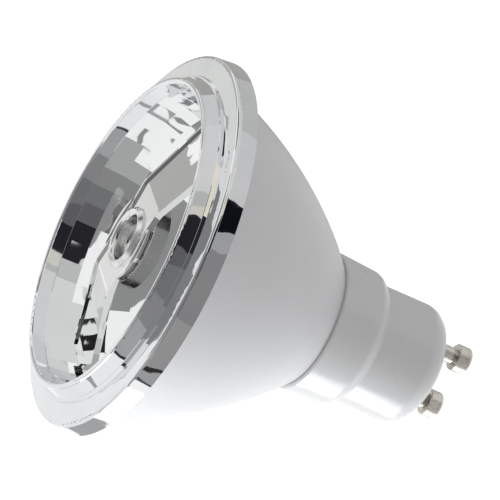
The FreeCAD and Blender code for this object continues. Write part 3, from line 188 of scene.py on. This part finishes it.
# Name, from and to round the axis, from and to in height, distance in metres and tone of each card.
mirror_cards = (
    ("low_wall", (262, 305), (-40, 5), 0.62, (0.27, 0.268, 0.27)),
    ("low_side_wall", (231, 262), (-40, 5), 0.62, (0.35, 0.345, 0.345)),
    ("low_door_edge", (305, 314), (-40, 5), 0.62, (0.40, 0.40, 0.41)),
    ("black_door", (314, 332), (-40, 3), 0.58, (0.006, 0.006, 0.01)),
    ("window_frame", (211, 214), (4, 47), 0.58, (0.03, 0.03, 0.035)),
    ("window_post", (180, 184), (4, 47), 0.58, (0.40, 0.40, 0.41)),
    ("window_rail", (140, 212), (31, 33), 0.58, (0.30, 0.30, 0.31)),
    ("pale_screen", (213, 240), (6, 62), 0.62, (0.42, 0.42, 0.42)),
    ("grey_screen", (240, 262), (6, 62), 0.62, (0.27, 0.27, 0.27)),
    ("dim_screen", (262, 284), (6, 62), 0.62, (0.19, 0.19, 0.195)),
    ("dark_screen", (284, 301), (6, 62), 0.62, (0.13, 0.13, 0.135)),
    ("black_screen", (300, 321), (6, 50), 0.60, (0.02, 0.02, 0.025)),
    ("ceiling", (0, 360), (62, 89), 0.64, (0.30, 0.30, 0.30)),
    ("cream_wall", (322, 360), (0, 17), 0.61, (0.90, 0.84, 0.68)),
    ("near_cream_wall", (321, 332), (17, 50), 0.63, (0.72, 0.71, 0.64)),
    ("near_grey_wall", (332, 341), (17, 50), 0.63, (0.55, 0.56, 0.55)),
    ("near_wall", (341, 420), (17, 50), 0.63, (0.74, 0.74, 0.74)),
    ("pale_corner", (142, 172), (-24, -10), 0.61, (0.45, 0.45, 0.45)),
    ("near_pale_wall", (331, 372), (-34, 0), 0.62, (0.66, 0.66, 0.665)),
    ("pale_wall", (12, 62), (-34, 0), 0.62, (0.56, 0.56, 0.55)),
    ("far_pale_wall", (62, 108), (-34, 4), 0.62, (0.42, 0.42, 0.40)),
    ("side_wall", (0, 62), (0, 17), 0.62, (0.70, 0.70, 0.70)),
    ("black_case", (34, 56), (36, 52), 0.58, (0.02, 0.02, 0.02)),
    ("far_screen", (96, 110), (4, 40), 0.62, (0.80, 0.805, 0.78)),
    ("far_screen_end", (110, 115), (4, 40), 0.62, (0.90, 0.90, 0.89)),
    ("dark_frame", (228, 231), (-40, 5), 0.60, (0.03, 0.03, 0.03)),
    ("frame_wall", (221, 228), (-40, 5), 0.61, (0.40, 0.40, 0.40)),
    ("frame_edge", (219, 221), (-40, 5), 0.60, (0.05, 0.05, 0.05)),
    ("bar_screen", (70, 96), (8, 40), 0.62, (0.50, 0.50, 0.49)),
    ("bar_window", (86.0, 91.2), (25.5, 28.6), 0.60, (1.1, 1.1, 1.1)),
    ("bar_pane_left", (86.0, 89.3), (25.5, 27.6), 0.595, (0.62, 0.62, 0.61)),
    ("bar_pane_middle", (89.5, 90.3), (25.5, 27.6), 0.595, (0.68, 0.68, 0.67)),
    ("bar_pane_right", (90.5, 91.0), (25.5, 27.9), 0.595, (0.56, 0.56, 0.55)),
)
for card_values in mirror_cards:
    mirror_card(*card_values)

# Front ring: one moulding of plastic with bright chrome plating. The plating is smooth, with a faint
# ripple from the mould and a little haze. It slides over the rim flange of the housing.
ring_tone = (0.80, 0.81, 0.82)
ring_haze_tone = (0.74, 0.75, 0.77)
ring_opening = 0.5
inward_least = 0.01
drift_low = 0.35
drift_high = 0.65
faint_relief = 0.00002


def new_group(name, inputs, outputs):
    """Empty shader node group: its tree, the sockets it is given and the sockets it makes."""
    group = bpy.data.node_groups.new(name, "ShaderNodeTree")
    for label, kind in inputs.items():
        group.interface.new_socket(name=label, in_out="INPUT", socket_type=kind)
    for label, kind in outputs.items():
        group.interface.new_socket(name=label, in_out="OUTPUT", socket_type=kind)
    return group, group.nodes.new("NodeGroupInput").outputs, group.nodes.new("NodeGroupOutput").inputs


def vector_maths(tree, operation, *feeds, output="Vector"):
    """Output of a new vector maths node."""
    node = add_node(tree, "ShaderNodeVectorMath", dict(enumerate(feeds)), operation=operation)
    return node.outputs[output]


def handled_surface():
    """Colour and roughness that drift slowly over a surface, as handling and moulding leave them."""
    group, given, made = new_group(
        "handled_surface",
        {"Vector": "NodeSocketVector", "Clean Colour": "NodeSocketColor", "Worn Colour": "NodeSocketColor",
         "Drift Scale": "NodeSocketFloat", "Clean Roughness": "NodeSocketFloat",
         "Worn Roughness": "NodeSocketFloat"},
        {"Colour": "NodeSocketColor", "Roughness": "NodeSocketFloat"})
    cloud = add_node(group, "ShaderNodeTexNoise", {
        "Vector": given["Vector"], "Scale": given["Drift Scale"], "Detail": 4.0, "Roughness": 0.6})
    spread = add_node(group, "ShaderNodeMapRange", {
        "Value": cloud.outputs["Fac"], "From Min": drift_low, "From Max": drift_high})
    tint = add_node(
        group, "ShaderNodeMix",
        {"Factor": spread.outputs["Result"], "A": given["Clean Colour"], "B": given["Worn Colour"]},
        data_type="RGBA")
    dull = add_node(group, "ShaderNodeMapRange", {
        "Value": spread.outputs["Result"], "To Min": given["Clean Roughness"],
        "To Max": given["Worn Roughness"]})
    group.links.new(tint.outputs["Result"], made["Colour"])
    group.links.new(dull.outputs["Result"], made["Roughness"])
    return group


def moulded_ripple():
    """Height of a moulded or plated skin: long soft ripples and a fine grain."""
    group, given, made = new_group(
        "moulded_ripple",
        {"Vector": "NodeSocketVector", "Ripple Scale": "NodeSocketFloat", "Ripple": "NodeSocketFloat",
         "Grain Scale": "NodeSocketFloat", "Grain": "NodeSocketFloat"},
        {"Height": "NodeSocketFloat"})
    waves = add_node(group, "ShaderNodeTexNoise", {
        "Vector": given["Vector"], "Scale": given["Ripple Scale"], "Detail": 1.0})
    grain = add_node(group, "ShaderNodeTexNoise", {
        "Vector": given["Vector"], "Scale": given["Grain Scale"], "Detail": 2.0})
    high = maths(group, "MULTIPLY", waves.outputs["Fac"], given["Ripple"])
    height = maths(group, "MULTIPLY_ADD", grain.outputs["Fac"], given["Grain"], high)
    group.links.new(height, made["Height"])
    return group


def opened_mirror():
    """Normal of a wall round the lamp's axis, leant outward where the wall looks inward."""
    group, given, made = new_group(
        "opened_mirror",
        {"Vector": "NodeSocketVector", "Normal In": "NodeSocketVector", "Opening": "NodeSocketFloat"},
        {"Normal": "NodeSocketVector"})
    inward = vector_maths(group, "MULTIPLY", given["Vector"], (-1.0, -1.0, 0.0))
    facing = vector_maths(group, "DOT_PRODUCT", inward, given["Normal In"], output="Value")
    looks_in = maths(group, "GREATER_THAN", facing, inward_least)
    lean = maths(group, "MULTIPLY", looks_in, given["Opening"])
    lift = add_node(group, "ShaderNodeCombineXYZ", {"Z": lean})
    leant = vector_maths(group, "ADD", given["Normal In"], lift.outputs["Vector"])
    group.links.new(vector_maths(group, "NORMALIZE", leant), made["Normal"])
    return group


surface_group = handled_surface()
ripple_group = moulded_ripple()
opened_group = opened_mirror()


def place_group(material, group, values):
    """Add a node group to a material, fed with Object coordinates and its own values."""
    tree = material.node_tree
    place = tree.nodes.get("Object Place") or tree.nodes.new("ShaderNodeTexCoord")
    place.name = "Object Place"
    return add_node(tree, "ShaderNodeGroup", {"Vector": place.outputs["Object"], **values}, node_tree=group)


def finish(name, clean, worn, drift, roughness, ripple, grain, metallic=0.0, height=faint_relief):
    """Material from a drifting colour and roughness and a moulded height.

    Roughness is a clean and a worn value. Ripple and grain are each a scale and a share of the height.
    """
    material = bpy.data.materials.new(name)
    material.use_nodes = True
    tree = material.node_tree
    shader = tree.nodes["Principled BSDF"]
    shader.inputs["Metallic"].default_value = metallic
    skin = place_group(material, surface_group, {
        "Clean Colour": (*clean, 1.0), "Worn Colour": (*worn, 1.0), "Drift Scale": drift,
        "Clean Roughness": roughness[0], "Worn Roughness": roughness[1]})
    tree.links.new(skin.outputs["Colour"], shader.inputs["Base Color"])
    tree.links.new(skin.outputs["Roughness"], shader.inputs["Roughness"])
    relief = place_group(material, ripple_group, {
        "Ripple Scale": ripple[0], "Ripple": ripple[1], "Grain Scale": grain[0], "Grain": grain[1]})
    bump = add_node(tree, "ShaderNodeBump", {"Height": relief.outputs["Height"], "Distance": height})
    tree.links.new(bump.outputs["Normal"], shader.inputs["Normal"])
    return material


def dress(material, *node_names):
    """Give CAD pieces their material."""
    for node_name in node_names:
        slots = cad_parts[node_name].data.materials
        slots.clear()
        slots.append(material)


def open_mirror(material, opening):
    """Lean the inward walls of a mirror material outward."""
    tree = material.node_tree
    face = tree.nodes.new("ShaderNodeNewGeometry")
    lean = place_group(material, opened_group, {"Normal In": face.outputs["Normal"], "Opening": opening})
    tree.links.new(lean.outputs["Normal"], tree.nodes["Bump"].inputs["Normal"])


ring_chrome = finish(
    "ring_chrome", ring_tone, ring_haze_tone, drift=60.0, roughness=(0.03, 0.06), ripple=(150.0, 1.0),
    grain=(1800.0, 0.003), metallic=1.0, height=0.00024)
open_mirror(ring_chrome, ring_opening)
dress(ring_chrome, "front_ring")

# Reflector bowl: moulded plastic with a vacuum metallised mirror. It is clamped under the front ring by
# its flange and stands on the heat sink by its foot.
mirror_tone = (0.86, 0.87, 0.87)
mirror_haze_tone = (0.80, 0.81, 0.82)
facet_opening = 0.5
bowl_mirror = finish(
    "bowl_mirror", mirror_tone, mirror_haze_tone, drift=50.0, roughness=(0.02, 0.05), ripple=(150.0, 1.0),
    grain=(1800.0, 0.002), metallic=1.0, height=0.00018)
open_mirror(bowl_mirror, facet_opening)
dress(bowl_mirror, "reflector_bowl")

# Bridge bar and glare cap: a pressed strip with beaded edges and a drawn cup in its middle, both
# brightly plated, the cup a little duller. The bar's ends hook into the wall of the bowl.
bar_tone = (0.80, 0.81, 0.81)
bar_haze_tone = (0.76, 0.76, 0.75)
bar_chrome = finish(
    "bar_chrome", bar_tone, bar_haze_tone, drift=80.0, roughness=(0.008, 0.02), ripple=(160.0, 1.0),
    grain=(1800.0, 0.002), metallic=1.0, height=0.00004)
cap_chrome = finish(
    "cap_chrome", bar_tone, bar_haze_tone, drift=90.0, roughness=(0.17, 0.22), ripple=(120.0, 0.2),
    grain=(1800.0, 0.002), metallic=1.0)
dress(bar_chrome, "bridge_bar")
dress(cap_chrome, "glare_cap")

# Cap shoulders: the drum of the glare cap is wider than the waist of the bar. Its drawn shoulder stands
# up beside both edges of the bar, a little over their beads, with a soft round edge.
shoulder_radius = 0.0083
shoulder_low = 0.0604
shoulder_top = 0.0620
shoulder_round = 0.0005
shoulder_round_parts = 6
shoulder_half_gap = 0.00632
shoulder_steps = 128
weld_distance = 0.000001
cut_distance = 0.0000001
cut_face_limit = 0.999

profile = [(0.0, shoulder_low), (shoulder_radius, shoulder_low)]
for part in range(shoulder_round_parts + 1):
    bend = radians(90.0 * part / shoulder_round_parts)
    profile.append((
        shoulder_radius - shoulder_round * (1.0 - cos(bend)),
        shoulder_top - shoulder_round * (1.0 - sin(bend))))
profile.append((0.0, shoulder_top))

shoulder_mesh = bpy.data.meshes.new("cap_shoulders")
shoulders = bmesh.new()
for side in (1.0, -1.0):
    half = bmesh.new()
    points = [half.verts.new((r, 0.0, z)) for r, z in profile]
    edges = [half.edges.new(pair) for pair in zip(points[:-1], points[1:])]
    bmesh.ops.spin(
        half, geom=points + edges, cent=(0.0, 0.0, 0.0), axis=(0.0, 0.0, 1.0),
        angle=radians(360.0), steps=shoulder_steps, use_merge=True)
    bmesh.ops.remove_doubles(half, verts=half.verts, dist=weld_distance)
    cut = bmesh.ops.bisect_plane(
        half, geom=half.verts[:] + half.edges[:] + half.faces[:], dist=cut_distance,
        plane_co=(0.0, side * shoulder_half_gap, 0.0), plane_no=(0.0, side, 0.0), clear_inner=True)
    cut_edges = [piece for piece in cut["geom_cut"] if isinstance(piece, bmesh.types.BMEdge)]
    bmesh.ops.edgenet_fill(half, edges=cut_edges)
    half.to_mesh(shoulder_mesh)
    half.free()
    shoulders.from_mesh(shoulder_mesh)
bmesh.ops.recalc_face_normals(shoulders, faces=shoulders.faces)
for face in shoulders.faces:
    face.smooth = abs(face.normal.y) < cut_face_limit
shoulders.to_mesh(shoulder_mesh)
shoulders.free()
shoulder_mesh.materials.append(bar_chrome)
cap_shoulders = bpy.data.objects.new("cap_shoulders", shoulder_mesh)
scene.collection.objects.link(cap_shoulders)
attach(cap_shoulders, "root")

# Housing: the white bell, one smooth satin moulding whose neck plugs into the base. Its rim flange
# carries the front ring.
housing_tone = (0.80, 0.80, 0.81)
housing_worn_tone = (0.78, 0.78, 0.785)
housing_white = finish(
    "housing_white", housing_tone, housing_worn_tone, drift=45.0, roughness=(0.38, 0.48),
    ripple=(70.0, 1.0), grain=(2200.0, 0.15))
dress(housing_white, "housing_shell")

# Base: boss and collar in one glossy white moulding. It holds the pins in its end wall and takes the
# neck of the bell at its open end.
base_tone = (0.77, 0.77, 0.77)
base_worn_tone = (0.75, 0.75, 0.755)
base_white = finish(
    "base_white", base_tone, base_worn_tone, drift=55.0, roughness=(0.20, 0.30), ripple=(90.0, 1.0),
    grain=(2000.0, 0.08), height=0.00003)
dress(base_white, "base_cap")

# Contact pins: turned brass under nickel, staked in the end wall of the boss. The cutter leaves fine
# rings round each pin.
pin_tone = (0.66, 0.63, 0.58)
pin_worn_tone = (0.50, 0.47, 0.42)
pin_ring_pitch = 0.00012
pin_ring_height = 0.000004
lathe_ripple = (200.0, 0.2)
lathe_grain = (2500.0, 0.1)


def turning_marks():
    """Height of the fine rings that a lathe leaves along the axis of a piece."""
    group, given, made = new_group(
        "turning_marks", {"Vector": "NodeSocketVector", "Pitch": "NodeSocketFloat"},
        {"Height": "NodeSocketFloat"})
    split = add_node(group, "ShaderNodeSeparateXYZ", {"Vector": given["Vector"]})
    rings = maths(group, "DIVIDE", split.outputs["Z"], given["Pitch"])
    angle = maths(group, "MULTIPLY", rings, 2.0 * pi)
    group.links.new(maths(group, "SINE", angle), made["Height"])
    return group


turning_group = turning_marks()


def turned_finish(name, clean, worn, drift, roughness, ring_pitch, ring_height):
    """Metal with lathe rings of a given pitch and height."""
    material = finish(name, clean, worn, drift, roughness, lathe_ripple, lathe_grain, metallic=1.0)
    tree = material.node_tree
    rings = place_group(material, turning_group, {"Pitch": ring_pitch})
    bump = add_node(tree, "ShaderNodeBump", {
        "Height": rings.outputs["Height"], "Distance": ring_height,
        "Normal": tree.nodes["Bump"].outputs["Normal"]})
    tree.links.new(bump.outputs["Normal"], tree.nodes["Principled BSDF"].inputs["Normal"])
    return material


pin_nickel = turned_finish(
    "pin_nickel", pin_tone, pin_worn_tone, drift=400.0, roughness=(0.22, 0.36),
    ring_pitch=pin_ring_pitch, ring_height=pin_ring_height)
dress(pin_nickel, "contact_pin_left", "contact_pin_right")

# Heat sink and thermal pad: a drawn aluminium cup that lines the bell, and the soft grey pad that
# carries the heat of the light source into it.
sink_metal = turned_finish(
    "heat_sink_metal", (0.78, 0.78, 0.79), (0.66, 0.66, 0.68), drift=90.0, roughness=(0.28, 0.42),
    ring_pitch=0.000377, ring_height=0.000004)
dress(sink_metal, "heat_sink")
pad_grey = finish(
    "thermal_pad_grey", (0.30, 0.31, 0.33), (0.25, 0.26, 0.28), drift=500.0, roughness=(0.75, 0.9),
    ripple=(900.0, 1.0), grain=(6000.0, 0.5))
dress(pad_grey, "thermal_pad")

# Light source: a white metal core board with a ceramic module on it, a yellow phosphor disc in the
# module, and two plated screws.
core_board_white = finish(
    "core_board_white", (0.86, 0.86, 0.84), (0.80, 0.80, 0.77), drift=300.0, roughness=(0.35, 0.5),
    ripple=(700.0, 1.0), grain=(5000.0, 0.3))
dress(core_board_white, "led_board")
module_ceramic = finish(
    "module_ceramic", (0.84, 0.83, 0.79), (0.78, 0.77, 0.73), drift=700.0, roughness=(0.5, 0.65),
    ripple=(1200.0, 1.0), grain=(6000.0, 0.5))
dress(module_ceramic, "led_module")
phosphor_yellow = finish(
    "phosphor_yellow", (0.86, 0.66, 0.14), (0.80, 0.58, 0.10), drift=1500.0, roughness=(0.3, 0.5),
    ripple=(1500.0, 1.0), grain=(7000.0, 0.6))
dress(phosphor_yellow, "led_phosphor")
screw_steel = turned_finish(
    "screw_steel", (0.66, 0.66, 0.67), (0.52, 0.52, 0.54), drift=600.0, roughness=(0.25, 0.4),
    ring_pitch=0.000314, ring_height=0.000003)
dress(screw_steel, "board_screws")

# Driver board: green glass fibre laminate that carries the parts of the driver. The weave of the glass
# shows faintly through the mask.
board_laminate = finish(
    "board_laminate", (0.05, 0.20, 0.08), (0.03, 0.14, 0.05), drift=350.0, roughness=(0.25, 0.4),
    ripple=(1100.0, 1.0), grain=(5200.0, 0.4))
dress(board_laminate, "driver_board")

# Capacitors: two cans in a dark shrink sleeve that leaves their flat ends bare, and one film capacitor
# dipped in red brown epoxy.
sleeve_tone = (0.02, 0.03, 0.05)
sleeve_worn_tone = (0.03, 0.04, 0.07)
bare_tone = (0.70, 0.70, 0.71, 1.0)
bare_roughness = 0.3
sleeved_length = {"bulk_capacitor": 0.00996, "output_capacitor": 0.00536}
anywhere = 1.0


def bare_ends():
    """Factor that is one outside a block round a middle point, where a covering ends."""
    group, given, made = new_group(
        "bare_ends",
        {"Vector": "NodeSocketVector", "Middle": "NodeSocketVector", "Half Size": "NodeSocketVector"},
        {"Bare": "NodeSocketFloat"})
    offset = vector_maths(group, "SUBTRACT", given["Vector"], given["Middle"])
    reach = vector_maths(group, "ABSOLUTE", offset)
    past = vector_maths(group, "SUBTRACT", reach, given["Half Size"])
    split = add_node(group, "ShaderNodeSeparateXYZ", {"Vector": past}).outputs
    most = maths(group, "MAXIMUM", maths(group, "MAXIMUM", split["X"], split["Y"]), split["Z"])
    group.links.new(maths(group, "GREATER_THAN", most, 0.0), made["Bare"])
    return group


bare_group = bare_ends()


def bare_metal(material, node_name, half_size):
    """Leave the metal of a CAD piece bare outside a block round its middle."""
    tree = material.node_tree
    shader = tree.nodes["Principled BSDF"]
    low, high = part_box(node_name)
    middle = tuple((low[axis] + high[axis]) / 2 for axis in range(3))
    bare = place_group(material, bare_group, {"Middle": middle, "Half Size": half_size}).outputs["Bare"]
    for socket, metal, kind in (("Base Color", bare_tone, "RGBA"), ("Roughness", bare_roughness, "FLOAT")):
        covered = shader.inputs[socket].links[0].from_socket
        mix = add_node(tree, "ShaderNodeMix", {"Factor": bare, "A": covered, "B": metal}, data_type=kind)
        tree.links.new(mix.outputs["Result"], shader.inputs[socket])
    tree.links.new(bare, shader.inputs["Metallic"])


for can_name, can_length in sleeved_length.items():
    can_skin = finish(
        can_name + "_sleeve", sleeve_tone, sleeve_worn_tone, drift=250.0, roughness=(0.18, 0.3),
        ripple=(400.0, 1.0), grain=(4000.0, 0.2))
    bare_metal(can_skin, can_name, (anywhere, anywhere, can_length / 2))
    dress(can_skin, can_name)
film_epoxy = finish(
    "film_epoxy", (0.30, 0.07, 0.03), (0.22, 0.05, 0.02), drift=300.0, roughness=(0.15, 0.3),
    ripple=(350.0, 1.0), grain=(3000.0, 0.1))
dress(film_epoxy, "film_capacitor")

# Fuse resistor, rectifier and driver chip: a coated ceramic body with plated caps, and two bodies of
# black moulding compound with tinned leads.
fuse_coat_length = 0.0040
chip_tone = (0.015, 0.015, 0.017)
chip_worn_tone = (0.025, 0.025, 0.028)
chip_width = {"bridge_rectifier": 0.00484, "driver_chip": 0.00394}
fuse_ceramic = finish(
    "fuse_ceramic", (0.16, 0.28, 0.36), (0.12, 0.22, 0.30), drift=500.0, roughness=(0.25, 0.4),
    ripple=(700.0, 1.0), grain=(4000.0, 0.3))
bare_metal(fuse_ceramic, "fuse_resistor", (anywhere, anywhere, fuse_coat_length / 2))
dress(fuse_ceramic, "fuse_resistor")
for chip_name, width in chip_width.items():
    chip_black = finish(
        chip_name + "_black", chip_tone, chip_worn_tone, drift=900.0, roughness=(0.45, 0.6),
        ripple=(2500.0, 1.0), grain=(9000.0, 0.8))
    bare_metal(chip_black, chip_name, (width / 2, anywhere, anywhere))
    dress(chip_black, chip_name)

# Transformer: a dark ferrite core round a moulded bobbin. The bobbin is wound with thin wire, and a
# layer of yellow tape covers the winding.
ferrite = finish(
    "ferrite", (0.035, 0.035, 0.04), (0.055, 0.055, 0.06), drift=700.0, roughness=(0.5, 0.7),
    ripple=(1500.0, 1.0), grain=(8000.0, 0.8))
dress(ferrite, "transformer_core")
bobbin_plastic = finish(
    "bobbin_plastic", (0.04, 0.035, 0.03), (0.06, 0.05, 0.045), drift=500.0, roughness=(0.4, 0.55),
    ripple=(800.0, 1.0), grain=(5000.0, 0.4))
dress(bobbin_plastic, "transformer_bobbin")
winding_tape = finish(
    "winding_tape", (0.80, 0.55, 0.05), (0.70, 0.44, 0.03), drift=600.0, roughness=(0.2, 0.35),
    ripple=(900.0, 1.0), grain=(5000.0, 0.2))
dress(winding_tape, "transformer_winding")

# Wires, sleeves and solder: thin insulated leads from the pins and to the light source, sleeves where
# they pass the heat sink, and bright solder at every joint.
wire_finishes = {
    "wire_white": ((0.80, 0.80, 0.78), (0.72, 0.72, 0.69), ("input_wire_left", "input_wire_right")),
    "wire_red": ((0.50, 0.02, 0.015), (0.40, 0.015, 0.01), ("output_wire_plus",)),
    "wire_black": ((0.012, 0.012, 0.012), (0.025, 0.025, 0.025), ("output_wire_minus",)),
    "sleeve_plastic": ((0.82, 0.81, 0.75), (0.74, 0.73, 0.66), ("wire_sleeves",)),
}
for wire_name, (clean_tone, worn_tone, wire_nodes) in wire_finishes.items():
    wire_skin = finish(
        wire_name, clean_tone, worn_tone, drift=500.0, roughness=(0.3, 0.45), ripple=(900.0, 1.0),
        grain=(6000.0, 0.3))
    dress(wire_skin, *wire_nodes)
solder = finish(
    "solder", (0.70, 0.70, 0.71), (0.58, 0.58, 0.60), drift=900.0, roughness=(0.2, 0.35),
    ripple=(1200.0, 1.0), grain=(6000.0, 0.3), metallic=1.0)
dress(solder, "solder_joints")

bpy.context.view_layer.update()
